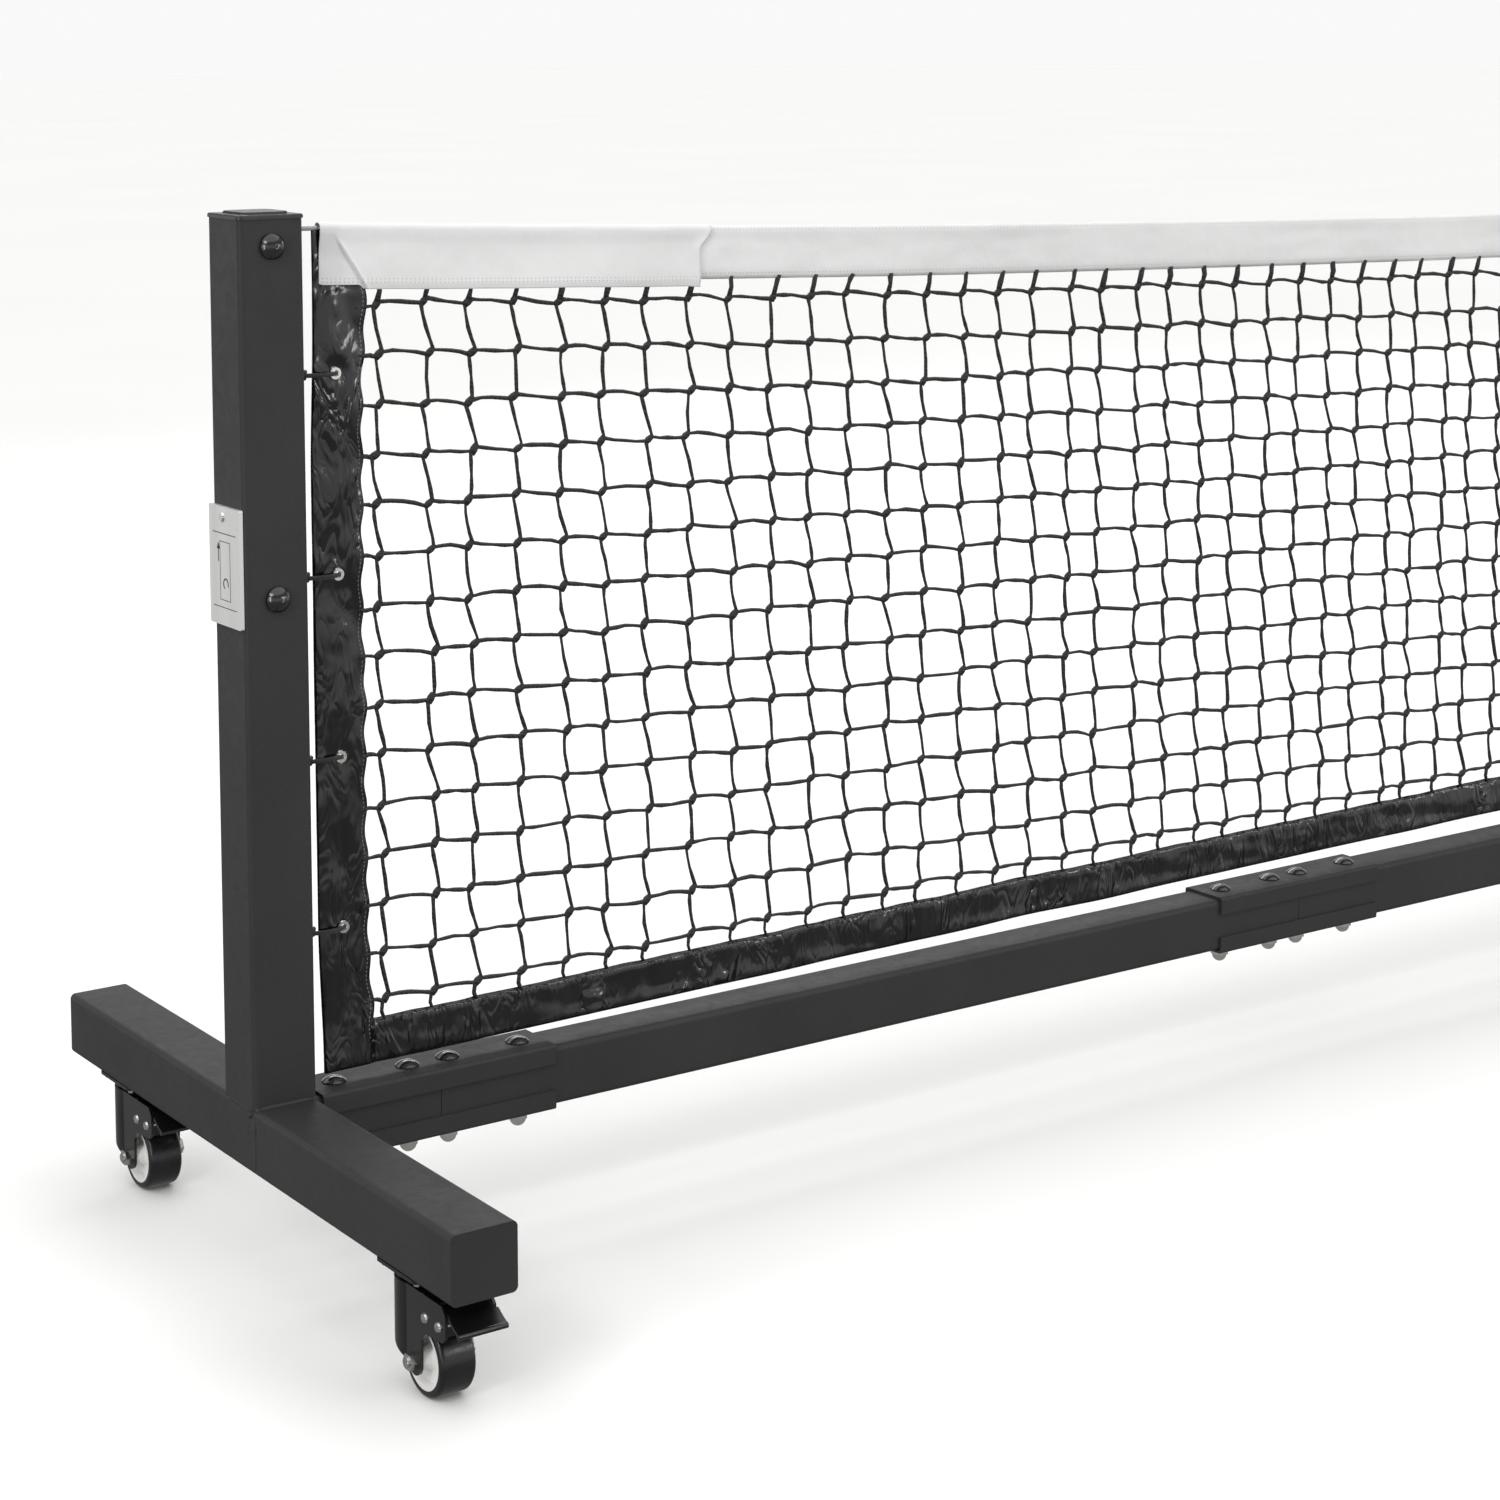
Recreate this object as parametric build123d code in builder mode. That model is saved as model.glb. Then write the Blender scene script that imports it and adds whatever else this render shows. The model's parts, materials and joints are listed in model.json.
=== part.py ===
"""Rolling pickleball net: two caster feet, a bolted base tube, two posts and a laced net.

X runs along the net, Y across it, Z up, in millimetres. The origin is on the floor,
midway between the posts. The front of every caster and every bolt head faces -Y.
"""
import os

from build123d import *

os.makedirs("parts", exist_ok=True)

# Posts and feet
post_spacing = 6706
tube_side = 60
tube_wall = 2.5
tube_corner = 5
deck_bottom = 101
foot_height = 58
foot_length = 734
post_top = 921.5
post_x = post_spacing / 2
foot_top = deck_bottom + foot_height
half_tube = tube_side / 2

# Base tube, cut into sections and joined by pairs of bolted channels
base_width = 50
base_height = 55
stub_end = 155
seam_gap = 0.6
section_count = 6
section_pitch = (post_spacing - 2 * stub_end) / section_count
base_top = deck_bottom + base_height
base_middle = deck_bottom + base_height / 2
seams = [stub_end - post_x + section_pitch * k for k in range(section_count + 1)]
bolt_offsets = (-93.5, -20.5, 20.5, 93.5)
bolt_xs = [seam + offset for seam in seams for offset in bolt_offsets]

# Channels and their bolts
channel_length = 236
channel_plate = 3
channel_lip = 15
channel_clearance = 0.1
channel_half = base_width / 2 + channel_clearance
bolt_r = 5
bolt_hole_r = 5.4
bolt_head_r = 11
bolt_head_height = 5.5
bolt_end = 83
nut_hex_r = 9.8

# Net
net_end = 58
band_end = 52
band_width = 50.5
band_inner = band_end + band_width
top_at_post = 914
top_at_centre = 864
bottom_at_post = 168
bottom_at_centre = 186
tape_height = 50
splice_height = 56
splice_length = 404
tape_thickness = 7
band_thickness = 4
mesh_thickness = 3
hem_height = 40
hem_thickness = 6
fabric_gap = 0.4
half_net = post_x - net_end
lacing_heights = (785, 610, 449, 297)
grommet_reach = 72
grommet_r = 6
grommet_hole_r = 3
grommet_barrel_r = 4

# Cord tension fittings in each post
sheave_z = 898.5
anchor_z = 600
sheave_root_r = 9.5
sheave_flange_r = 14
cord_r = 2
cord_groove_gap = 0.2
cord_bend_r = sheave_root_r + cord_r + cord_groove_gap
cord_z = sheave_z + cord_bend_r
post_bolt_r = 4
button_r = 11
button_height = 9

# Instruction plate on each post's outer face
plate_y = 1
plate_z = 627
plate_width = 58
plate_height = 102
plate_sheet = 3.5
rivet_y = 4
rivet_z = 669
rivet_r = 2
rivet_head_r = 4.5
rivet_head_height = 1.8

# Casters
caster_y = 273
wheel_r = 32
wheel_width = 32
hub_r = 26
trail = 22
axle_r = 4
fork_r = 25
fork_half = 23
fork_sheet = 2.5
fork_inner = fork_half - fork_sheet
fork_top = 91.7
fork_front = -72
crown_front = -42
pin_z = 73
pivot_y = -39.5
stop_pin_y = -61
pin_r = 2
plate_thickness = 3
race_bottom = 92
plate_bolt_x = 21
plate_bolt_y = 26
plate_bolt_r = 3
sides = {"left": -1, "right": 1}
caster_spots = {
    f"{side}_{end}": (sign * post_x, y)
    for side, sign in sides.items()
    for end, y in (("front", -caster_y), ("rear", caster_y))
}


def write_node(part, node):
    part.label = node
    export_step(part, f"parts/{node}.step")


def facing_x(x, y=0, z=0):
    """A plane whose normal is +X, with Y to its right and Z up."""
    return Plane(origin=(x, y, z), x_dir=(0, 1, 0), z_dir=(1, 0, 0))


def facing_y(x, y, z):
    """A plane whose normal is -Y, with X to its right and Z up."""
    return Plane(origin=(x, y, z), x_dir=(1, 0, 0), z_dir=(0, -1, 0))


def dome_radius(base_r, height):
    """Radius of the sphere that makes a dome of this base radius and height."""
    return (base_r**2 + height**2) / (2 * height)


def top_line(x):
    """Height of the net's top edge, which droops from the posts to the centre."""
    return top_at_centre + (top_at_post - top_at_centre) * (abs(x) / half_net) ** 3


def bottom_line(x):
    """Height of the net's bottom edge, which rises a little towards the centre."""
    return bottom_at_centre + (bottom_at_post - bottom_at_centre) * (abs(x) / half_net) ** 2


def edge_points(height, start, end, shift, count=17):
    """Points along one of the net's curved edges, shifted in height."""
    step = (end - start) / (count - 1)
    xs = [start + step * k for k in range(count)]
    return [(x, height(x) + shift) for x in xs]


def curved_panel(low, low_shift, high, high_shift, start, end, thickness):
    """A flat panel in the net's plane between two of its curved edges."""
    lower = edge_points(low, start, end, low_shift)
    upper = edge_points(high, start, end, high_shift)
    with BuildPart() as panel:
        with BuildSketch(Plane.XZ):
            with BuildLine():
                Spline(*lower)
                Line(lower[-1], upper[-1])
                Spline(*upper)
                Line(upper[0], lower[0])
            make_face()
        extrude(amount=thickness / 2, both=True)
    return panel.part


# ---------------------------------------------------------------- posts and feet


def make_post(sign):
    x = sign * post_x
    inner_face = x - sign * half_tube
    outer_face = x + sign * half_tube
    with BuildPart() as post:
        with BuildSketch(Plane.XY.offset(foot_top)):
            with Locations((x, 0)):
                RectangleRounded(tube_side, tube_side, tube_corner)
                RectangleRounded(
                    tube_side - 2 * tube_wall,
                    tube_side - 2 * tube_wall,
                    tube_corner - tube_wall,
                    mode=Mode.SUBTRACT,
                )
        extrude(amount=post_top - foot_top)
        with BuildSketch(facing_y(x, 0, 0)):
            with Locations((0, sheave_z), (0, anchor_z)):
                Circle(post_bolt_r + 0.3)
        extrude(amount=tube_side, both=True, mode=Mode.SUBTRACT)
        with BuildSketch(facing_x(inner_face, 0, cord_z)):
            Circle(cord_r + 2)
        extrude(amount=2 * tube_wall, both=True, mode=Mode.SUBTRACT)
        with BuildSketch(facing_x(outer_face, rivet_y, rivet_z)):
            Circle(rivet_r + 0.1)
        extrude(amount=2 * tube_wall, both=True, mode=Mode.SUBTRACT)
    return post.part


def make_cap(sign):
    """A moulded plug cap: a thin flange with a raised middle and a hollow skirt."""
    flange_side = tube_side + 2
    flange_thickness = 3.5
    raised_side = 46
    raised_height = 2
    skirt_side = tube_side - 2 * tube_wall - 0.4
    skirt_depth = 6
    with BuildPart() as cap:
        with BuildSketch(Plane.XY.offset(post_top)):
            with Locations((sign * post_x, 0)):
                RectangleRounded(flange_side, flange_side, tube_corner)
        extrude(amount=flange_thickness)
        chamfer(cap.edges().group_by(Axis.Z)[-1], 1)
        with BuildSketch(Plane.XY.offset(post_top + flange_thickness)):
            with Locations((sign * post_x, 0)):
                RectangleRounded(raised_side, raised_side, 2 * tube_corner)
        extrude(amount=raised_height, taper=30)
        with BuildSketch(Plane.XY.offset(post_top)):
            with Locations((sign * post_x, 0)):
                RectangleRounded(skirt_side, skirt_side, 2)
                RectangleRounded(skirt_side - 4, skirt_side - 4, 1, mode=Mode.SUBTRACT)
        extrude(amount=-skirt_depth)
    return cap.part


def make_foot(sign):
    """A closed box tube across the net, drilled underneath for the caster plates."""
    x = sign * post_x
    middle = (deck_bottom + foot_top) / 2
    inner_width = tube_side - 2 * tube_wall
    inner_height = foot_height - 2 * tube_wall
    with BuildPart() as foot:
        with BuildSketch(facing_y(x, 0, middle)):
            RectangleRounded(tube_side, foot_height, tube_corner)
        extrude(amount=foot_length / 2, both=True)
        with BuildSketch(facing_y(x, 0, middle)):
            RectangleRounded(inner_width, inner_height, tube_corner - tube_wall)
        extrude(amount=foot_length / 2 - tube_wall, both=True, mode=Mode.SUBTRACT)
        with BuildSketch(Plane.XY.offset(deck_bottom - 1)):
            for end in (-1, 1):
                with Locations((x, end * caster_y)):
                    with GridLocations(2 * plate_bolt_x, 2 * plate_bolt_y, 2, 2):
                        Circle(plate_bolt_r + 0.1)
        extrude(amount=2 * tube_wall, mode=Mode.SUBTRACT)
    return foot.part


def base_tube(start, end):
    """One length of base tube, drilled from top to bottom for its joint bolts."""
    holes = [x for x in bolt_xs if start < x < end]
    with BuildPart() as tube:
        with BuildSketch(facing_x(start, 0, base_middle)):
            RectangleRounded(base_width, base_height, tube_corner)
            RectangleRounded(
                base_width - 2 * tube_wall,
                base_height - 2 * tube_wall,
                tube_corner - tube_wall,
                mode=Mode.SUBTRACT,
            )
        extrude(amount=end - start)
        with BuildSketch(Plane.XY.offset(deck_bottom - 1)):
            with Locations(*[(x, 0) for x in holes]):
                Circle(bolt_hole_r)
        extrude(amount=base_height + 2, mode=Mode.SUBTRACT)
    return tube.part


# ---------------------------------------------------------------- joint channels


def make_channels(face_z, lips):
    """A folded channel over each seam. lips is -1 for lips that point down, 1 for up."""
    outer = channel_half + channel_plate
    lip_end = face_z + lips * channel_lip
    back = face_z - lips * channel_plate
    with BuildPart() as channels:
        for seam in seams:
            with BuildSketch(facing_x(seam)):
                with BuildLine():
                    Polyline(
                        (-outer, lip_end),
                        (-outer, back),
                        (outer, back),
                        (outer, lip_end),
                        (channel_half, lip_end),
                        (channel_half, face_z),
                        (-channel_half, face_z),
                        (-channel_half, lip_end),
                        close=True,
                    )
                make_face()
            extrude(amount=channel_length / 2, both=True)
        backs = channels.edges().filter_by(Axis.X).filter_by(
            lambda edge: abs(edge.center().Z - back) < 0.01
        )
        fillet(backs, channel_plate)
        with BuildSketch(Plane.XY.offset(face_z)):
            with Locations(*[(x, 0) for x in bolt_xs]):
                Circle(bolt_hole_r)
        extrude(amount=2 * channel_plate, both=True, mode=Mode.SUBTRACT)
    return channels.part


def make_carriage_bolts():
    seat = base_top + channel_plate
    crown = seat + bolt_head_height
    dome_r = dome_radius(bolt_head_r, bolt_head_height - 1)
    with BuildPart() as bolt:
        with BuildSketch(Plane.XZ):
            with BuildLine():
                Line((0, bolt_end), (bolt_r, bolt_end))
                Line((bolt_r, bolt_end), (bolt_r, seat))
                Line((bolt_r, seat), (bolt_head_r, seat))
                Line((bolt_head_r, seat), (bolt_head_r, seat + 1))
                RadiusArc((bolt_head_r, seat + 1), (0, crown), -dome_r)
                Line((0, crown), (0, bolt_end))
            make_face()
        revolve(axis=Axis.Z)
    with BuildPart() as bolts:
        with Locations(*[(x, 0, 0) for x in bolt_xs]):
            add(bolt.part)
    return bolts.part


def cap_nut(hex_r, hex_height, dome_height, bore_r, bore_depth, washer_r):
    """A domed nut with its washer, its seat at the origin and its dome pointing up."""
    washer_thickness = 2
    hex_top = washer_thickness + hex_height
    dome_base = 0.8 * hex_r
    dome_r = dome_radius(dome_base, dome_height)
    top = hex_top + dome_height
    with BuildPart() as nut:
        with BuildSketch(Plane.XY):
            Circle(washer_r)
        extrude(amount=washer_thickness)
        with BuildSketch(Plane.XY.offset(washer_thickness)):
            RegularPolygon(hex_r, 6)
        extrude(amount=hex_height)
        with BuildSketch(Plane.XZ):
            with BuildLine():
                Line((0, hex_top), (dome_base, hex_top))
                RadiusArc((dome_base, hex_top), (0, top), -dome_r)
                Line((0, top), (0, hex_top))
            make_face()
        revolve(axis=Axis.Z)
        with BuildSketch(Plane.XY):
            Circle(bore_r)
        extrude(amount=bore_depth, mode=Mode.SUBTRACT)
    return nut.part


def make_cap_nuts():
    """The nuts under the base joints and the smaller ones behind the posts."""
    joint_nut = cap_nut(nut_hex_r, 8, 8, bolt_r + 0.1, 16, 11)
    post_nut = cap_nut(7.5, 6.5, 5.5, post_bolt_r + 0.1, 11.5, 8)
    seat = deck_bottom - channel_plate
    with BuildPart() as nuts:
        with Locations(*[Location((x, 0, seat), (180, 0, 0)) for x in bolt_xs]):
            add(joint_nut)
        for sign in sides.values():
            for z in (sheave_z, anchor_z):
                with Locations(Location((sign * post_x, half_tube, z), (-90, 0, 0))):
                    add(post_nut)
    return nuts.part


# ---------------------------------------------------------------- post fittings


def make_instruction_plates():
    """A blank metal plate riveted to the outer face of each post."""
    with BuildPart() as plates:
        for sign in sides.values():
            outer_face = sign * (post_x + half_tube)
            with BuildSketch(facing_x(outer_face)):
                with Locations((plate_y, plate_z)):
                    RectangleRounded(plate_width, plate_height, 1.5)
                with Locations((rivet_y, rivet_z)):
                    Circle(rivet_r + 0.1, mode=Mode.SUBTRACT)
            extrude(amount=sign * plate_sheet)
    return plates.part


def make_plate_rivets():
    reach = 6
    with BuildPart() as rivets:
        for sign in sides.values():
            seat = sign * (post_x + half_tube + plate_sheet)
            with BuildSketch(facing_x(seat, rivet_y, rivet_z)):
                Circle(rivet_head_r)
            extrude(amount=sign * rivet_head_height, taper=30)
            with BuildSketch(facing_x(seat, rivet_y, rivet_z)):
                Circle(rivet_r)
            extrude(amount=-sign * reach)
    return rivets.part


def make_post_bolts():
    """Button-headed bolts through each post: the sheave's axle and the cord's anchor."""
    tail = half_tube + 11
    skirt = 3
    dome_r = dome_radius(button_r, button_height - skirt)
    with BuildPart() as bolts:
        for sign in sides.values():
            for z in (sheave_z, anchor_z):
                x = sign * post_x
                with BuildSketch(facing_x(x, 0, z)):
                    with BuildLine():
                        Line((tail, 0), (tail, post_bolt_r))
                        Line((tail, post_bolt_r), (-half_tube, post_bolt_r))
                        Line((-half_tube, post_bolt_r), (-half_tube, button_r))
                        Line((-half_tube, button_r), (-half_tube - skirt, button_r))
                        RadiusArc(
                            (-half_tube - skirt, button_r), (-half_tube - button_height, 0), -dome_r
                        )
                        Line((-half_tube - button_height, 0), (tail, 0))
                    make_face()
                revolve(axis=Axis((x, 0, z), (0, 1, 0)))
    return bolts.part


def make_sheave(sign):
    """A nylon cord roller that turns on the upper post bolt."""
    x = sign * post_x
    half_length = half_tube - tube_wall - 1
    hub = 7.5
    rim = 7
    groove = 3.2
    bore = post_bolt_r + 0.1
    with BuildPart() as sheave:
        with BuildSketch(facing_x(x, 0, sheave_z)):
            with BuildLine():
                Polyline(
                    (-half_length, bore),
                    (-half_length, hub),
                    (-rim, hub),
                    (-rim, sheave_flange_r),
                    (-rim + 2, sheave_flange_r),
                    (-groove, sheave_root_r + 2),
                    (-1, sheave_root_r),
                    (1, sheave_root_r),
                    (groove, sheave_root_r + 2),
                    (rim - 2, sheave_flange_r),
                    (rim, sheave_flange_r),
                    (rim, hub),
                    (half_length, hub),
                    (half_length, bore),
                    close=True,
                )
            make_face()
        revolve(axis=Axis((x, 0, sheave_z), (0, 1, 0)))
    return sheave.part


def make_lacing_eyes():
    """Wire staples on the inner face of each post, which the net is laced to."""
    wire_r = 1.75
    reach = 6
    bend = 5
    with BuildPart() as eyes:
        for sign in sides.values():
            face = sign * (post_x - half_tube)
            for z in lacing_heights:
                tip = face - sign * reach
                with BuildLine() as wire:
                    Line((face, 0, z + bend), (tip, 0, z + bend))
                    ThreePointArc(
                        (tip, 0, z + bend), (tip - sign * bend, 0, z), (tip, 0, z - bend)
                    )
                    Line((tip, 0, z - bend), (face, 0, z - bend))
                with BuildSketch(facing_x(face, 0, z + bend)):
                    Circle(wire_r)
                sweep(path=wire.wires()[0])
    return eyes.part


# ---------------------------------------------------------------- net


def make_head_tape():
    """The folded tape along the top edge, with a deeper sleeve at each end."""
    splice = half_net - splice_length
    ends = ((-half_net, -splice, splice_height), (splice, half_net, splice_height))
    pieces = [
        curved_panel(top_line, -height, top_line, 0, start, end, tape_thickness)
        for start, end, height in (*ends, (-splice, splice, tape_height))
    ]
    with BuildPart() as tape:
        for piece in pieces:
            add(piece)
    return tape.part


def make_mesh_panel():
    """A thin solid that stands for the knotted twine inside the borders."""
    reach = post_x - band_inner
    splice = half_net - splice_length
    lift = hem_height + fabric_gap
    middle_drop = -tape_height - fabric_gap
    end_drop = -splice_height - fabric_gap
    spans = ((-reach, -splice, end_drop), (-splice, splice, middle_drop), (splice, reach, end_drop))
    pieces = [
        curved_panel(bottom_line, lift, top_line, drop, start, end, mesh_thickness)
        for start, end, drop in spans
    ]
    with BuildPart() as mesh:
        for piece in pieces:
            add(piece)
    return mesh.part


def make_side_band(sign):
    """The vinyl band down one end of the net, punched for its grommets."""
    outer = post_x - band_end
    inner = post_x - band_inner + fabric_gap
    start, end = sorted((sign * outer, sign * inner))
    strip = curved_panel(
        bottom_line, 0, top_line, -splice_height - fabric_gap, start, end, band_thickness
    )
    grommet_x = sign * (post_x - grommet_reach)
    with BuildPart() as band:
        add(strip)
        with BuildSketch(Plane.XZ):
            with Locations(*[(grommet_x, z) for z in lacing_heights]):
                Circle(grommet_barrel_r + 0.1)
        extrude(amount=band_thickness, both=True, mode=Mode.SUBTRACT)
    return band.part


def make_bottom_band():
    reach = post_x - band_inner
    return curved_panel(bottom_line, 0, bottom_line, hem_height, -reach, reach, hem_thickness)


def make_grommets():
    """Two-part eyelets: a barrel through the band with a flange on each face."""
    flange = 1.2
    half = band_thickness / 2
    with BuildPart() as grommets:
        for sign in sides.values():
            for z in lacing_heights:
                with BuildSketch(facing_x(sign * (post_x - grommet_reach), 0, z)):
                    with BuildLine():
                        Polyline(
                            (-half - flange, grommet_hole_r),
                            (-half - flange, grommet_r - 0.8),
                            (-half, grommet_r),
                            (-half, grommet_barrel_r),
                            (half, grommet_barrel_r),
                            (half, grommet_r),
                            (half + flange, grommet_r - 0.8),
                            (half + flange, grommet_hole_r),
                            close=True,
                        )
                    make_face()
                revolve(axis=Axis((sign * (post_x - grommet_reach), 0, z), (0, 1, 0)))
    return grommets.part


# ---------------------------------------------------------------- cords


def make_top_cord(sign):
    """The tension cord: out of the tape, over the sheave and down to its anchor bolt."""
    x = sign * post_x
    outer = x + sign * cord_bend_r
    hook_r = post_bolt_r + cord_r + 0.3
    slack_z = 650
    tail_end = anchor_z + 14
    route = [
        (sign * (half_net + 1), 0, cord_z),
        (outer, 0, cord_z),
        (outer, 0, slack_z),
        (x + sign * hook_r, 0, anchor_z - hook_r),
        (x - sign * hook_r, 0, anchor_z - hook_r),
        (x - sign * hook_r, 0, tail_end),
    ]
    radii = [cord_bend_r, 500, 0.95 * hook_r, 0.95 * hook_r]
    print(f"top cord radii {radii}")
    with BuildPart() as cord:
        with BuildLine() as path:
            FilletPolyline(*route, radius=radii)
        with BuildSketch(facing_x(route[0][0], 0, cord_z)):
            Circle(cord_r)
        sweep(path=path.wires()[0])
    return cord.part


def make_lacing_cords():
    """Short ties from each eye to its grommet, drawn across the front of the band."""
    lace_r = 2
    profile = [(38, -4.2), (46, -5.8), (62, -6.4), (70, -5.6)]
    radii = [24, 24]
    print(f"lacing radii {radii}")
    with BuildPart() as laces:
        for sign in sides.values():
            for z in lacing_heights:
                route = [(sign * (post_x - reach), y, z) for reach, y in profile]
                with BuildLine() as path:
                    FilletPolyline(*route, radius=radii)
                wire = path.wires()[0]
                with BuildSketch(Plane(origin=wire @ 0, z_dir=wire % 0)):
                    Circle(lace_r)
                sweep(path=wire)
    return laces.part


# ---------------------------------------------------------------- casters


def make_mounting_plates():
    """Each caster's top plate with its upper race and riveted kingpin."""
    kingpin_r = 5
    head_r = 8
    head_top = fork_top - fork_sheet - 0.3
    with BuildPart() as plates:
        for x, y in caster_spots.values():
            with BuildSketch(Plane.XY.offset(deck_bottom - plate_thickness)):
                with Locations((x, y)):
                    RectangleRounded(56, 64, 4)
                    with GridLocations(2 * plate_bolt_x, 2 * plate_bolt_y, 2, 2):
                        Circle(plate_bolt_r + 0.1, mode=Mode.SUBTRACT)
            extrude(amount=plate_thickness)
            with BuildSketch(Plane(origin=(x, y, 0), x_dir=(1, 0, 0), z_dir=(0, -1, 0))):
                with BuildLine():
                    Polyline(
                        (0, deck_bottom - plate_thickness),
                        (22, deck_bottom - plate_thickness),
                        (24, race_bottom + 2),
                        (23, race_bottom),
                        (kingpin_r, race_bottom),
                        (kingpin_r, head_top),
                        (head_r, head_top),
                        (head_r - 1, head_top - 3),
                        (0, head_top - 3),
                        close=True,
                    )
                make_face()
            revolve(axis=Axis((x, y, 0), (0, 0, 1)))
    return plates.part


def make_plate_bolts():
    head_r = 5
    head_height = 3.2
    reach = 8
    seat = deck_bottom - plate_thickness
    with BuildPart() as bolts:
        for x, y in caster_spots.values():
            with BuildSketch(Plane.XY.offset(seat)):
                with Locations((x, y)):
                    with GridLocations(2 * plate_bolt_x, 2 * plate_bolt_y, 2, 2):
                        Circle(head_r)
            extrude(amount=-head_height, taper=20)
            with BuildSketch(Plane.XY.offset(seat)):
                with Locations((x, y)):
                    with GridLocations(2 * plate_bolt_x, 2 * plate_bolt_y, 2, 2):
                        Circle(plate_bolt_r)
            extrude(amount=reach)
    return bolts.part


def make_fork(x, y):
    """A drawn hood: two legs joined by a rounded back, under a round crown."""
    depth = 80
    boss_r = 10
    with BuildPart() as fork:
        with BuildSketch(Plane.XY.offset(fork_top)):
            with Locations((x, y)):
                Circle(fork_r)
            with Locations((x, y + fork_front / 2)):
                Rectangle(2 * fork_half, -fork_front)
        extrude(amount=-depth)
        with BuildSketch(Plane.XY.offset(fork_top - fork_sheet)):
            with Locations((x, y)):
                Circle(fork_r - fork_sheet)
            with Locations((x, y + fork_front / 2 - 2)):
                Rectangle(2 * fork_inner, 4 - fork_front)
        extrude(amount=-depth, mode=Mode.SUBTRACT)
        with BuildSketch(Plane.XY.offset(fork_top)):
            with Locations((x, y + (crown_front + fork_front) / 2 - 2)):
                Rectangle(2 * fork_inner, crown_front - fork_front + 4)
        extrude(amount=-2 * fork_sheet, mode=Mode.SUBTRACT)
        with BuildSketch(facing_x(x, y)):
            with BuildLine():
                Polyline(
                    (-trail + boss_r, wheel_r - 4),
                    (10, 38),
                    (21, 48),
                    (fork_r + 1, 60),
                    (fork_r + 1, fork_top),
                    (-66, fork_top),
                    (fork_front, 85),
                    (fork_front, 67),
                    (-67, 62),
                    (-41, 60),
                    (-trail - boss_r - 1, 52),
                    (-trail - boss_r, wheel_r),
                )
                RadiusArc((-trail - boss_r, wheel_r), (-trail + boss_r, wheel_r - 4), -boss_r - 0.2)
            make_face()
        extrude(amount=fork_half + 3, both=True, mode=Mode.INTERSECT)
        with BuildSketch(Plane.XY.offset(fork_top)):
            with Locations((x, y)):
                Circle(5.3)
        extrude(amount=-2 * fork_sheet, mode=Mode.SUBTRACT)
        with BuildSketch(facing_x(x, y)):
            with Locations((-trail, wheel_r)):
                Circle(axle_r + 0.05)
            with Locations((pivot_y, pin_z), (stop_pin_y, pin_z)):
                Circle(pin_r + 0.05)
        extrude(amount=fork_half + 3, both=True, mode=Mode.SUBTRACT)
    return fork.part


def make_hub(x, y):
    """The white wheel centre: bearing boss, dished web and rim."""
    boss = 20
    rim = wheel_width / 2 - 0.5
    dish = 10
    with BuildPart() as hub:
        with BuildSketch(Plane(origin=(x, y - trail, wheel_r), x_dir=(1, 0, 0), z_dir=(0, -1, 0))):
            with BuildLine():
                Polyline(
                    (-boss, axle_r + 0.1),
                    (-boss, 8.5),
                    (-dish - 2, 9.5),
                    (-dish, 11),
                    (-dish, 20),
                    (-rim, 22.5),
                    (-rim, hub_r - 0.05),
                    (rim, hub_r - 0.05),
                    (rim, 22.5),
                    (dish, 20),
                    (dish, 11),
                    (dish + 2, 9.5),
                    (boss, 8.5),
                    (boss, axle_r + 0.1),
                    close=True,
                )
            make_face()
        revolve(axis=Axis((x, y - trail, wheel_r), (1, 0, 0)))
    return hub.part


def make_tyre(x, y):
    with BuildPart() as tyre:
        with BuildSketch(facing_x(x - wheel_width / 2, y - trail, wheel_r)):
            Circle(wheel_r)
            Circle(hub_r, mode=Mode.SUBTRACT)
        extrude(amount=wheel_width)
        rims = tyre.edges().filter_by(GeomType.CIRCLE).filter_by(
            lambda edge: edge.radius > hub_r + 1
        )
        fillet(rims, 4)
    return tyre.part


def make_axle(x, y):
    """The wheel's bolt, with its head inboard and a lock nut on the -X side."""
    hex_r = 7.5
    with BuildPart() as axle:
        with BuildSketch(facing_x(x - 31.5, y - trail, wheel_r)):
            Circle(axle_r)
        extrude(amount=31.5 + fork_half)
        with BuildSketch(facing_x(x + fork_half, y - trail, wheel_r)):
            RegularPolygon(hex_r, 6)
        extrude(amount=5.5)
        with BuildSketch(facing_x(x - fork_half - 6.5, y - trail, wheel_r)):
            RegularPolygon(hex_r, 6)
            Circle(axle_r + 0.05, mode=Mode.SUBTRACT)
        extrude(amount=6.5)
    return axle.part


def make_brake_pins(x, y):
    """The pedal's pivot pin and its stop pin, headed on both legs."""
    head_r = 4.2
    head_height = 1.6
    with BuildPart() as pins:
        for pin_y in (pivot_y, stop_pin_y):
            with BuildSketch(facing_x(x, y + pin_y, pin_z)):
                Circle(pin_r)
            extrude(amount=fork_half, both=True)
            for side in (-1, 1):
                with BuildSketch(facing_x(x + side * fork_half, y + pin_y, pin_z)):
                    Circle(head_r)
                extrude(amount=side * head_height, taper=25)
    return pins.part


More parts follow.
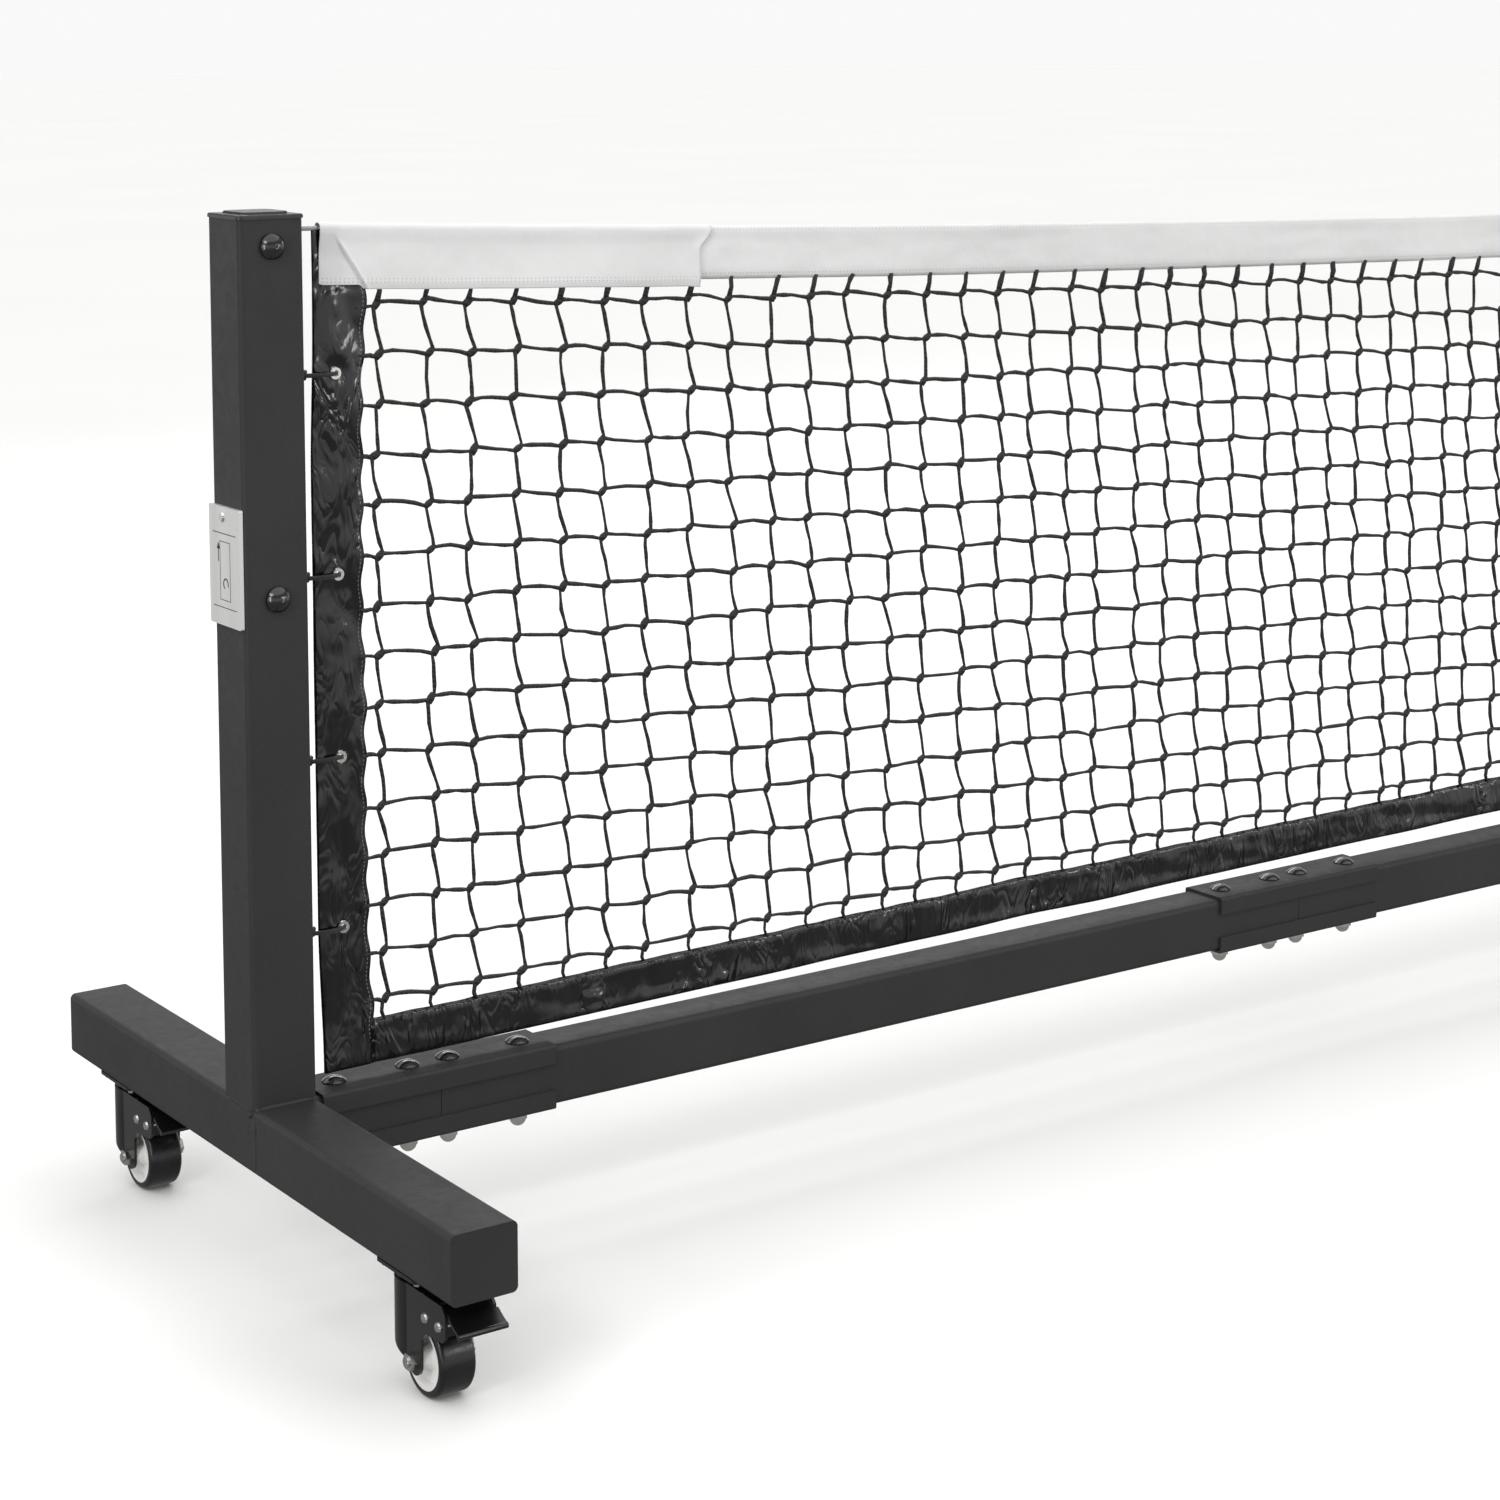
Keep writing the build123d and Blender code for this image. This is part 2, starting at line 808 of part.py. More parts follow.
def make_brake_pedal(x, y):
    """A pressed pedal with a rolled lip, two pivot ears and a shoe over the tyre."""
    sheet = 2.4
    inner_half = 19
    lip_half = 22
    ear = 2
    with BuildPart() as pedal:
        with BuildSketch(facing_x(x, y)):
            with BuildLine():
                Polyline((pivot_y - 1, 85), (-58, 87.5), (-68, 87.5), (-76, 83.5))
            trace(line_width=sheet)
        extrude(amount=inner_half, both=True)
        with BuildSketch(facing_x(x, y)):
            with BuildLine():
                Polyline((-76, 83.5), (-83, 79), (-90, 75.5))
            trace(line_width=sheet)
            with Locations((-90.4, 74.6)):
                Circle(2.5)
        extrude(amount=lip_half, both=True)
        for side in (-1, 1):
            with BuildSketch(facing_x(x + side * (inner_half - ear), y)):
                with BuildLine():
                    Polyline((pivot_y + 5, 75), (pivot_y + 4, 85), (-56, 87.5), (-47, 73), close=True)
                make_face()
                with Locations((pivot_y, pin_z)):
                    Circle(5.5)
                    Circle(pin_r + 0.1, mode=Mode.SUBTRACT)
            extrude(amount=side * ear)
        with BuildSketch(facing_x(x, y)):
            with BuildLine():
                Polyline((-47.5, 57.5), (-47.5, 86), (-50.5, 86), (-50.5, 57.5), close=True)
            make_face()
        extrude(amount=15, both=True)
    return pedal.part


# ---------------------------------------------------------------- nodes

for side, sign in sides.items():
    write_node(make_post(sign), f"{side}_post_tube")
    write_node(make_cap(sign), f"{side}_post_cap")
    write_node(make_foot(sign), f"{side}_foot_tube")
    stub = sorted((sign * (post_x - half_tube), sign * (post_x - stub_end + seam_gap / 2)))
    write_node(base_tube(*stub), f"{side}_base_stub")
    write_node(make_sheave(sign), f"{side}_cord_sheave")
    write_node(make_side_band(sign), f"{side}_net_side_band")
    write_node(make_top_cord(sign), f"{side}_top_cord")

for number in range(section_count):
    start = seams[number] + seam_gap / 2
    end = seams[number + 1] - seam_gap / 2
    write_node(base_tube(start, end), f"base_section_{number + 1}")

write_node(make_channels(base_top, -1), "joint_channels_top")
write_node(make_channels(deck_bottom, 1), "joint_channels_bottom")
write_node(make_carriage_bolts(), "joint_carriage_bolts")
write_node(make_cap_nuts(), "cap_nuts")
write_node(make_instruction_plates(), "instruction_plates")
write_node(make_plate_rivets(), "plate_rivets")
write_node(make_post_bolts(), "post_bolts")
write_node(make_lacing_eyes(), "lacing_eyes")
write_node(make_head_tape(), "net_head_tape")
write_node(make_mesh_panel(), "net_mesh_panel")
write_node(make_bottom_band(), "net_bottom_band")
write_node(make_grommets(), "net_grommets")
write_node(make_lacing_cords(), "lacing_cords")
write_node(make_mounting_plates(), "caster_mounting_plates")
write_node(make_plate_bolts(), "caster_plate_bolts")

for name, (x, y) in caster_spots.items():
    write_node(make_fork(x, y), f"{name}_caster_fork")
    write_node(make_hub(x, y), f"{name}_wheel_hub")
    write_node(make_tyre(x, y), f"{name}_wheel_tyre")
    write_node(make_axle(x, y), f"{name}_wheel_axle")
    write_node(make_brake_pins(x, y), f"{name}_brake_pins")
    write_node(make_brake_pedal(x, y), f"{name}_brake_pedal")
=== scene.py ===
"""Looks of a rolling pickleball net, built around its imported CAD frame.

Metres throughout, +X along the net, +Y across it, +Z up. "u" runs along a strip of fabric
and "v" runs in from its fold, both in metres.
"""
import json
import math
import random

import bpy
import numpy as np
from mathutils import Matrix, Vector, noise


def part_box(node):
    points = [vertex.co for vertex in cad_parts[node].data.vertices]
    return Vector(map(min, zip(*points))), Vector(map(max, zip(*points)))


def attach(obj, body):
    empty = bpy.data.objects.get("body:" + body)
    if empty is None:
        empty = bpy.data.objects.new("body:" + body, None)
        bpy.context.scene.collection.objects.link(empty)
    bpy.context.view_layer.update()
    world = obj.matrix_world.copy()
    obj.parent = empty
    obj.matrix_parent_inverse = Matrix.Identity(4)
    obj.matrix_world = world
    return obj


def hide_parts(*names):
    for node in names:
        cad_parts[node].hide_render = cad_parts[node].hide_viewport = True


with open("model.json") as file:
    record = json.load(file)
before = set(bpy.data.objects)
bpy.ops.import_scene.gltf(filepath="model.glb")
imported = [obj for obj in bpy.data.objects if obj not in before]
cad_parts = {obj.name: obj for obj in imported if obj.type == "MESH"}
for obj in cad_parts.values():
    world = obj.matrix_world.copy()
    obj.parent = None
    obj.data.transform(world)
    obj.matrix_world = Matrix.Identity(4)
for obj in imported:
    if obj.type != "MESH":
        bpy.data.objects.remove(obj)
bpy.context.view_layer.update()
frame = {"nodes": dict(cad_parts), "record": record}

# Places read from the frame
sides = {"left": -1, "right": 1}
post_low, post_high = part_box("right_post_tube")
foot_low, foot_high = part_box("right_foot_tube")
stub_low, stub_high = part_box("right_base_stub")
tape_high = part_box("net_head_tape")[1]
band_low, band_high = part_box("right_net_side_band")
plate_low, plate_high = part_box("instruction_plates")
post_x = (post_low.x + post_high.x) / 2
half_post = (post_high.x - post_low.x) / 2
half_net = tape_high.x

# The net, with the CAD's sizes
top_at_centre = 0.864
top_at_post = tape_high.z
bottom_at_post = 0.168
bottom_at_centre = 0.186
tape_height = 0.05
sleeve_height = 0.056
sleeve_length = 0.404
hem_height = 0.04
lacing_heights = (0.785, 0.610, 0.449, 0.297)
grommet_x = post_x - 0.072
band_width = band_high.x - band_low.x
sheeting = 0.0005

# Twine
twine_r = 0.0019
column_count = 141
column_pitch = 2 * (band_low.x - 0.0145) / (column_count - 1)
row_count = 15
top_row_drop = 0.067
bottom_row_rise = 0.055
panel_count = 6

# Camera, low and beside the left post
camera_from_left_post = (-1.1556, -2.3681, 1.0784)
camera_yaw = 54.9
camera_pitch = 6.37
camera_lens = 74.3
camera_shift = -0.25

random.seed(7)


def top_line(x):
    return top_at_centre + (top_at_post - top_at_centre) * (abs(x) / half_net) ** 3


def bottom_line(x):
    return bottom_at_centre + (bottom_at_post - bottom_at_centre) * (abs(x) / half_net) ** 2


def row_height(x, row):
    """Height of one row of knots; the rows close up towards the centre."""
    top = top_line(x) - top_row_drop
    bottom = bottom_line(x) + bottom_row_rise
    return top + (bottom - top) * row / (row_count - 1)


def smooth(value, low, high):
    """0 below low, 1 above high, and a smooth rise between."""
    t = min(max((value - low) / (high - low), 0), 1)
    return t * t * (3 - 2 * t)


def wave(*place):
    """Smooth noise from about -1 to 1."""
    return noise.noise(Vector(place))


# ---------------------------------------------------------------- camera, lights, floor


def make_camera():
    data = bpy.data.cameras.new("camera")
    camera = bpy.data.objects.new("camera", data)
    bpy.context.scene.collection.objects.link(camera)
    camera.location = Vector(camera_from_left_post) - Vector((post_x, 0, 0))
    camera.rotation_euler = (
        math.radians(90 - camera_pitch),
        0,
        math.radians(camera_yaw - 90),
    )
    data.sensor_width = 36
    data.lens = camera_lens
    data.shift_y = camera_shift
    bpy.context.scene.camera = camera


def area_light(name, place, target, size, power):
    data = bpy.data.lights.new(name, "AREA")
    data.shape = "RECTANGLE"
    data.size, data.size_y = size
    data.energy = power
    light = bpy.data.objects.new(name, data)
    light.visible_camera = False
    bpy.context.scene.collection.objects.link(light)
    light.location = place
    light.rotation_euler = (Vector(target) - Vector(place)).to_track_quat("-Z", "Y").to_euler()


def make_studio():
    """Soft overhead light, a world that is pale at the horizon, and strips for the gloss."""
    sun = bpy.data.lights.new("soft_sky", "SUN")
    sun.energy = 2.3
    sun.angle = math.radians(110)
    soft_sky = bpy.data.objects.new("soft_sky", sun)
    bpy.context.scene.collection.objects.link(soft_sky)
    area_light("outer_side", (-5.6, -1.4, 2.5), (-3.35, 0, 0.7), (0.8, 0.8), 17)
    area_light("far_side", (5.6, 1.4, 2.5), (3.35, 0, 0.7), (0.8, 0.8), 17)
    area_light("outer_edge", (-5.3, -1.0, 0.75), (-3.38, -0.03, 0.6), (0.15, 1.2), 9)
    area_light("far_edge", (5.3, 1.0, 0.75), (3.38, 0.03, 0.6), (0.15, 1.2), 9)
    area_light("front_strip", (0.4, -3.8, 1.55), (0, 0, 0.5), (4.4, 0.5), 55)
    area_light("back_strip", (-0.4, 3.8, 3.0), (0, 0, 0.5), (4.4, 0.5), 45)
    world = bpy.data.worlds.new("studio")
    bpy.context.scene.world = world
    world.use_nodes = True
    tree = world.node_tree
    split = tree.nodes.new("ShaderNodeSeparateXYZ")
    tree.links.new(tree.nodes.new("ShaderNodeTexCoord").outputs["Generated"], split.inputs[0])
    height = tree.nodes.new("ShaderNodeMath")
    height.operation = "ABSOLUTE"
    tree.links.new(split.outputs["Z"], height.inputs[0])
    ramp = tree.nodes.new("ShaderNodeMapRange")
    ramp.inputs["From Min"].default_value = 0.08
    ramp.inputs["From Max"].default_value = 0.28
    ramp.inputs["To Min"].default_value = 0.95
    ramp.inputs["To Max"].default_value = 0.28
    tree.links.new(height.outputs[0], ramp.inputs["Value"])
    tree.links.new(ramp.outputs[0], tree.nodes["Background"].inputs["Strength"])
    tree.nodes["Background"].inputs["Color"].default_value = (1, 1, 1, 1)
    bpy.context.scene.view_settings.view_transform = "Standard"


# ---------------------------------------------------------------- materials


def add(material, kind, inputs=(), **settings):
    """One shader node. An input is a value, or a socket to link from."""
    tree = material.node_tree
    made = tree.nodes.new(kind)
    for name, value in settings.items():
        setattr(made, name, value)
    for name, value in dict(inputs).items():
        if isinstance(value, bpy.types.NodeSocket):
            tree.links.new(value, made.inputs[name])
        else:
            made.inputs[name].default_value = value
    return made


def math_node(material, operation, a, b=0.0):
    return add(material, "ShaderNodeMath", {0: a, 1: b}, operation=operation).outputs[0]


def blend_tones(material, fac, low, high):
    """A colour between two tones."""
    mix = add(material, "ShaderNodeMix", {"Factor": fac}, data_type="RGBA")
    mix.inputs[6].default_value = (*low, 1)
    mix.inputs[7].default_value = (*high, 1)
    return mix.outputs[2]


def stretch(material, fac, low, high):
    """Maps noise, which stays near its middle, onto a range."""
    inputs = {"Value": fac, "From Min": 0.3, "From Max": 0.7, "To Min": low, "To Max": high}
    return add(material, "ShaderNodeMapRange", inputs).outputs[0]


def noise_value(material, coords, scale, detail=3, distortion=0.0):
    inputs = {"Vector": coords, "Scale": scale, "Detail": detail, "Distortion": distortion}
    return add(material, "ShaderNodeTexNoise", inputs).outputs["Fac"]


def grey(value):
    return (value, value, value * 0.985)


def new_material(name, metallic=0.0, coat=0.0, sheen=0.0):
    """An empty Principled material, its shader node and its coordinates."""
    material = bpy.data.materials.new(name)
    material.use_nodes = True
    shader = material.node_tree.nodes["Principled BSDF"]
    shader.inputs["Metallic"].default_value = metallic
    shader.inputs["Coat Weight"].default_value = coat
    shader.inputs["Coat Roughness"].default_value = 0.12
    shader.inputs["Sheen Weight"].default_value = sheen
    coords = add(material, "ShaderNodeTexCoord").outputs["Object"]
    return material, shader, coords


def finish_material(material, shader, colour, roughness, heights):
    """Links colour and roughness, and stacks bumps given as (height, metres)."""
    link = material.node_tree.links.new
    link(colour, shader.inputs["Base Color"])
    link(roughness, shader.inputs["Roughness"])
    normal = None
    for height, distance in heights:
        bump = add(material, "ShaderNodeBump", {"Height": height, "Distance": distance})
        if normal:
            link(normal, bump.inputs["Normal"])
        normal = bump.outputs["Normal"]
    link(normal, shader.inputs["Normal"])
    return material


def grained(name, tones, rough, grain, mottle=18, stretched=(1, 1, 1), **surface):
    """A finish whose tone and roughness drift, over a fine grain of (scale, height)."""
    material, shader, coords = new_material(name, **surface)
    pulled = add(material, "ShaderNodeMapping", {"Vector": coords, "Scale": stretched})
    coords = pulled.outputs["Vector"]
    drift = noise_value(material, coords, mottle, 5)
    smears = noise_value(material, coords, mottle * 4, 4, 0.6)
    colour = blend_tones(material, stretch(material, drift, 0, 1), *tones)
    roughness = stretch(material, smears, *rough)
    scale, height = grain
    heights = [(noise_value(material, coords, scale, 2), height)]
    return finish_material(material, shader, colour, roughness, heights)


def powder_coat():
    """Charcoal powder coat: a fine orange peel with faint dust and handling marks."""
    material, shader, coords = new_material("powder_coat")
    shader.inputs["Specular IOR Level"].default_value = 0.2
    drift = noise_value(material, coords, 7, 6, 0.4)
    speck = noise_value(material, coords, 420, 2)
    fac = math_node(
        material,
        "ADD",
        math_node(material, "MULTIPLY", speck, 0.35),
        math_node(material, "MULTIPLY", drift, 0.65),
    )
    colour = blend_tones(
        material, stretch(material, fac, 0, 1), (0.030, 0.0305, 0.031), (0.040, 0.0405, 0.041)
    )
    marks = noise_value(material, coords, 45, 6, 1.5)
    roughness = stretch(material, marks, 0.44, 0.56)
    heights = [
        (noise_value(material, coords, 950, 2), 0.00006),
        (noise_value(material, coords, 160, 1), 0.00006),
    ]
    return finish_material(material, shader, colour, roughness, heights)


def zinc():
    """Zinc plate with a faint spangle."""
    material, shader, coords = new_material("zinc", metallic=1)
    cells = add(material, "ShaderNodeTexVoronoi", {"Vector": coords, "Scale": 260})
    spangle = cells.outputs["Distance"]
    colour = blend_tones(material, spangle, (0.72, 0.71, 0.68), (0.5, 0.5, 0.5))
    roughness = stretch(material, noise_value(material, coords, 180, 4), 0.14, 0.28)
    heights = [(noise_value(material, coords, 1400, 2), 0.00003)]
    return finish_material(material, shader, colour, roughness, heights)


def braid(name, tones, pitch):
    """A braided cord: two sets of strands that cross on the slant, with painted shade in the
    hollows between them.
    """
    material, shader, coords = new_material(name, sheen=0.25)
    split = add(material, "ShaderNodeSeparateXYZ", {"Vector": coords})
    along = math_node(material, "ADD", split.outputs["X"], split.outputs["Z"])
    against = math_node(material, "SUBTRACT", split.outputs["X"], split.outputs["Z"])
    turns = 2 * math.pi / pitch
    one = math_node(material, "SINE", math_node(material, "MULTIPLY", along, turns))
    two = math_node(material, "SINE", math_node(material, "MULTIPLY", against, turns))
    strands = math_node(material, "MULTIPLY", one, two)
    lift = math_node(material, "MULTIPLY", math_node(material, "ADD", strands, 1.0), 0.5)
    fuzz = noise_value(material, coords, 1500, 3)
    # painted shade: the colour follows the strands' height, darker in the hollows and lighter on
    # the crowns
    colour = blend_tones(material, lift, *tones)
    roughness = stretch(material, fuzz, 0.5, 0.75)
    return finish_material(
        material, shader, colour, roughness, [(lift, 0.0003), (fuzz, 0.0001)]
    )


def twine():
    """Black tarred twine, its two strands twisted about each other."""
    material, shader, coords = new_material("twine", sheen=0.05)
    split = add(material, "ShaderNodeSeparateXYZ", {"Vector": coords})
    slant = math_node(material, "ADD", split.outputs["X"], split.outputs["Z"])
    turned = math_node(material, "ADD", slant, split.outputs["Y"])
    lay = math_node(material, "SINE", math_node(material, "MULTIPLY", turned, 1500))
    fuzz = noise_value(material, coords, 900, 4)
    colour = blend_tones(
        material, stretch(material, fuzz, 0, 1), (0.004, 0.004, 0.0045), (0.013, 0.013, 0.013)
    )
    roughness = stretch(material, fuzz, 0.38, 0.62)
    return finish_material(material, shader, colour, roughness, [(lay, 0.0002), (fuzz, 0.0002)])


def stitch_mask(material, rows, pitch, gap, thread):
    """1 on the stitches of rows sewn along u, each at its distance v from the fold."""
    place = add(material, "ShaderNodeUVMap", uv_map="strip").outputs["UV"]
    split = add(material, "ShaderNodeSeparateXYZ", {"Vector": place})
    wrapped = math_node(material, "FRACT", math_node(material, "DIVIDE", split.outputs["X"], pitch))
    dash = math_node(material, "LESS_THAN", wrapped, 1 - gap)
    mask = None
    for row in rows:
        off = math_node(material, "SUBTRACT", split.outputs["Y"], row)
        near = math_node(
            material, "LESS_THAN", math_node(material, "ABSOLUTE", off), thread / 2
        )
        mask = near if mask is None else math_node(material, "MAXIMUM", mask, near)
    return math_node(material, "MULTIPLY", mask, dash), mask


def white_vinyl(name, rows):
    """Coated white tape: a faint weave, soft dimples, two rows of white stitches, and painted shade
    in the sunken line between the stitches.
    """
    material, shader, coords = new_material(name)
    stitches, seam = stitch_mask(material, rows, 0.0042, 0.3, 0.0009)
    drift = noise_value(material, coords, 9, 5, 0.5)
    base = blend_tones(
        material, stretch(material, drift, 0, 1), (0.79, 0.79, 0.785), (0.88, 0.88, 0.875)
    )
    # painted shade: the sunken seam line shows grey between the white stitches
    shade = add(material, "ShaderNodeMix", {"Factor": seam, 6: base}, data_type="RGBA")
    shade.inputs[7].default_value = (0.6, 0.6, 0.59, 1)
    colour = add(
        material, "ShaderNodeMix", {"Factor": stitches, 6: shade.outputs[2]}, data_type="RGBA"
    )
    colour.inputs[7].default_value = (0.86, 0.86, 0.85, 1)
    roughness = stretch(material, noise_value(material, coords, 60, 3), 0.36, 0.5)
    weave = add(
        material, "ShaderNodeTexVoronoi", {"Vector": coords, "Scale": 1100, "Randomness": 0.3}
    ).outputs["Distance"]
    heights = [
        (noise_value(material, coords, 28, 3), 0.0014),
        (weave, 0.00006),
        (math_node(material, "SUBTRACT", stitches, seam), 0.0002),
    ]
    return finish_material(material, shader, colour.outputs[2], roughness, heights)


def black_vinyl(name, rows, thread_tone):
    """Glossy black sheeting: slanting folds, patches of sharp creases, and a sewn row."""
    material, shader, coords = new_material(name)
    shader.inputs["IOR"].default_value = 1.56
    stitches, seam = stitch_mask(material, rows, 0.0038, 0.4, 0.0010)
    leaned = add(
        material,
        "ShaderNodeMapping",
        {"Vector": coords, "Rotation": (0, math.radians(-32), 0), "Scale": (1, 1, 0.35)},
    ).outputs["Vector"]
    folds = noise_value(material, leaned, 26, 1, 0.3)
    ridges = math_node(
        material,
        "ABSOLUTE",
        math_node(material, "SUBTRACT", noise_value(material, leaned, 48, 2, 1.2), 0.5),
    )
    patches = stretch(material, noise_value(material, coords, 15, 2, 0.8), 0, 1)
    crushed = math_node(material, "MULTIPLY", ridges, patches)
    tone = blend_tones(material, patches, (0.004, 0.004, 0.0045), (0.008, 0.008, 0.0085))
    colour = add(material, "ShaderNodeMix", {"Factor": stitches, 6: tone}, data_type="RGBA")
    colour.inputs[7].default_value = (*thread_tone, 1)
    roughness = stretch(material, noise_value(material, coords, 60, 4, 1.0), 0.1, 0.2)
    heights = [
        (folds, 0.012),
        (crushed, 0.012),
        (math_node(material, "SUBTRACT", stitches, seam), 0.0003),
    ]
    return finish_material(material, shader, colour.outputs[2], roughness, heights)


def make_materials():
    """One finish for each of the record's material slots."""
    return {
        "charcoal_powder_coat": powder_coat(),
        "black_plastic": grained(
            "cap_plastic", (grey(0.010), grey(0.017)), (0.28, 0.42), (1300, 0.00005)
        ),
        "black_nylon": grained(
            "nylon", (grey(0.015), grey(0.024)), (0.45, 0.6), (1100, 0.00006)
        ),
        "black_bolts": grained(
            "black_oxide", (grey(0.006), grey(0.012)), (0.14, 0.26), (700, 0.00003), coat=0.5
        ),
        "nickel_plate": grained(
            "nickel",
            ((0.66, 0.64, 0.60), (0.80, 0.78, 0.74)),
            (0.10, 0.24),
            (900, 0.00002),
            60,
            metallic=1,
        ),
        "zinc_plate": zinc(),
        "plate_metal": grained(
            "brushed_plate",
            (grey(0.66), grey(0.76)),
            (0.3, 0.45),
            (1500, 0.00003),
            40,
            (1, 1, 0.06),
            metallic=0.35,
        ),
        "white_vinyl": white_vinyl("tape_vinyl", (0.0035, tape_height - 0.0055)),
        "black_vinyl": black_vinyl("band_vinyl", (band_width - 0.004,), (0.16, 0.16, 0.16)),
        "black_twine": twine(),
        # each braid's first tone is painted shade in its hollows, the second is the cord's own
        # colour
        "black_cord": braid(
            "black_braid", ((0.005, 0.005, 0.005), (0.02, 0.02, 0.02)), 0.002
        ),
        "grey_cord": braid("grey_braid", ((0.26, 0.26, 0.26), (0.55, 0.55, 0.54)), 0.0024),
        "black_caster_steel": grained(
            "caster_paint", (grey(0.005), grey(0.009)), (0.14, 0.27), (260, 0.00004), coat=0.15
        ),
        "white_nylon": grained(
            "hub_nylon",
            ((0.86, 0.85, 0.83), (0.93, 0.92, 0.90)),
            (0.38, 0.52),
            (900, 0.00004),
            30,
        ),
        "black_tyre": grained(
            "tyre_polyurethane",
            ((0.007, 0.007, 0.007), (0.014, 0.014, 0.0135)),
            (0.2, 0.36),
            (600, 0.00005),
            35,
        ),
    }


# ---------------------------------------------------------------- mesh helpers


def new_object(name, verts, faces, material, body="frame", smooth_shaded=True):
    """A mesh piece that rides on a body and has one finish."""
    mesh = bpy.data.meshes.new(name)
    mesh.from_pydata([tuple(v) for v in verts], [], faces)
    mesh.polygons.foreach_set("use_smooth", [smooth_shaded] * len(mesh.polygons))
    mesh.materials.append(material)
    mesh.update()
    made = bpy.data.objects.new(name, mesh)
    bpy.context.scene.collection.objects.link(made)
    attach(made, body)
    return made


def add_tube(verts, faces, points, radii, across, around=6, squash=1.0):
    """Adds a tube along points. across is a direction that is never along it."""
    points = np.array(points, float)
    ahead = np.gradient(points, axis=0)
    ahead /= np.linalg.norm(ahead, axis=1)[:, None]
    side = np.cross(ahead, across)
    side /= np.linalg.norm(side, axis=1)[:, None]
    proud = np.cross(side, ahead)
    start = len(verts)
    for k, point in enumerate(points):
        for turn in range(around):
            angle = 2 * math.pi * turn / around
            out = math.cos(angle) * side[k] + squash * math.sin(angle) * proud[k]
            verts.append(point + radii[k] * out)
    for k in range(len(points) - 1):
        for turn in range(around):
            a = start + k * around + turn
            b = start + k * around + (turn + 1) % around
            faces.append((a, b, b + around, a + around))
    faces.append(tuple(range(start + around - 1, start - 1, -1)))
    last = start + (len(points) - 1) * around
    faces.append(tuple(range(last, last + around)))


def add_lump(verts, faces, centre, radii, tilt, around=7, rings=4):
    """Adds a knot: a lumpy ellipsoid tilted in the net's plane."""
    start = len(verts)
    ca, sa = math.cos(tilt), math.sin(tilt)

    def place(polar, turn):
        x = radii[0] * math.cos(polar)
        y = radii[1] * math.sin(polar) * math.sin(turn)
        z = radii[2] * math.sin(polar) * math.cos(turn)
        bulge = 1 + 0.16 * math.sin(3 * polar + 2 * turn)
        x, y, z = x * bulge, y * bulge, z * bulge
        return np.array((centre[0] + ca * x - sa * z, centre[1] + y, centre[2] + sa * x + ca * z))

    verts.append(place(0, 0))
    for ring in range(1, rings):
        for turn in range(around):
            verts.append(place(math.pi * ring / rings, 2 * math.pi * turn / around))
    verts.append(place(math.pi, 0))
    end = len(verts) - 1
    for turn in range(around):
        following = (turn + 1) % around
        faces.append((start, start + 1 + turn, start + 1 + following))
        for ring in range(rings - 2):
            a = start + 1 + ring * around
            faces.append((a + turn, a + around + turn, a + around + following, a + following))
        last = start + 1 + (rings - 2) * around
        faces.append((end, last + following, last + turn))


# ---------------------------------------------------------------- net mesh


def column_x(column):
    return (column - (column_count - 1) / 2) * column_pitch


def knot_places():
    """Where each knot sits, a little off the even grid, by (column, row)."""
    places = {}
    for column in range(column_count):
        lean = random.uniform(-0.0025, 0.0025)
        for row in range(row_count):
            x = column_x(column) + lean + random.uniform(-0.0032, 0.0032)
            lean += random.uniform(-0.0008, 0.0008)
            z = row_height(x, row) + random.uniform(-0.002, 0.002)
            places[column, row] = (x, random.uniform(-0.0005, 0.0005), z)
    return places


def strand(start, end, across, bow):
    """Points from one knot to the next, bowed and a little uneven."""
    start, end, across = np.array(start), np.array(end), np.array(across)
    points = []
    for t in (0.0, 0.22, 0.5, 0.78, 1.0):
        drift = bow * math.sin(math.pi * t) + random.uniform(-0.0004, 0.0004)
        points.append(start + (end - start) * t + across * drift)
    return points


def make_twine_panels(knots):
    """The knotted mesh, cut into panels so that no piece is very large."""
    per_panel = (column_count - 1) // panel_count
    for panel in range(panel_count):
        first = panel * per_panel
        last = column_count - 1 if panel == panel_count - 1 else first + per_panel
        verts, faces = [], []
        own = range(first, last + (last == column_count - 1))
        for column in own:
            add_column(verts, faces, knots, column)
        for row in range(row_count):
            add_row(verts, faces, knots, row, first, last)
        made = new_object(
            f"twine_panel_{panel + 1}", verts, faces, finishes["black_twine"]
        )
        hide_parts("net_mesh_panel")


def uneven(count, thick=1.0):
    return [twine_r * thick * random.uniform(0.74, 1.2) for _ in range(count)]


def add_column(verts, faces, knots, column):
    """One hanging twine with its knots, its doubled loop into the tape and its tail."""
    across = (0, 1, 0)
    slip = 0.0032
    step = 0.0032
    x, y, z = knots[column, 0]
    top = top_line(x) - tape_height + 0.003
    lean = random.uniform(-0.002, 0.004)
    loop = [(x + slip + lean, 0, top), (x + slip, y, (top + z) / 2), (x, y, z)]
    add_tube(verts, faces, loop, uneven(3, 1.45), across)
    points = []
    for row in range(row_count):
        x, y, z = knots[column, row]
        if row:
            above = (x + slip, y, z + step)
            points += strand(points.pop(), above, (1, 0, 0), random.uniform(-0.0022, 0.0012))
        points += [(x, y, z), (x - slip, y, z - step)]
        tilt = math.radians(42 + random.uniform(-16, 16))
        size = random.uniform(0.9, 1.12)
        add_lump(verts, faces, (x, y, z), (0.0056 * size, 0.0034, 0.0038 * size), tilt)
    x, y, z = points[-1]
    foot = bottom_line(x) + hem_height - 0.004
    points += [(x - 0.001, 0, (z + foot) / 2), (x + 0.002, 0, foot)]
    add_tube(verts, faces, points, uneven(len(points)), across)


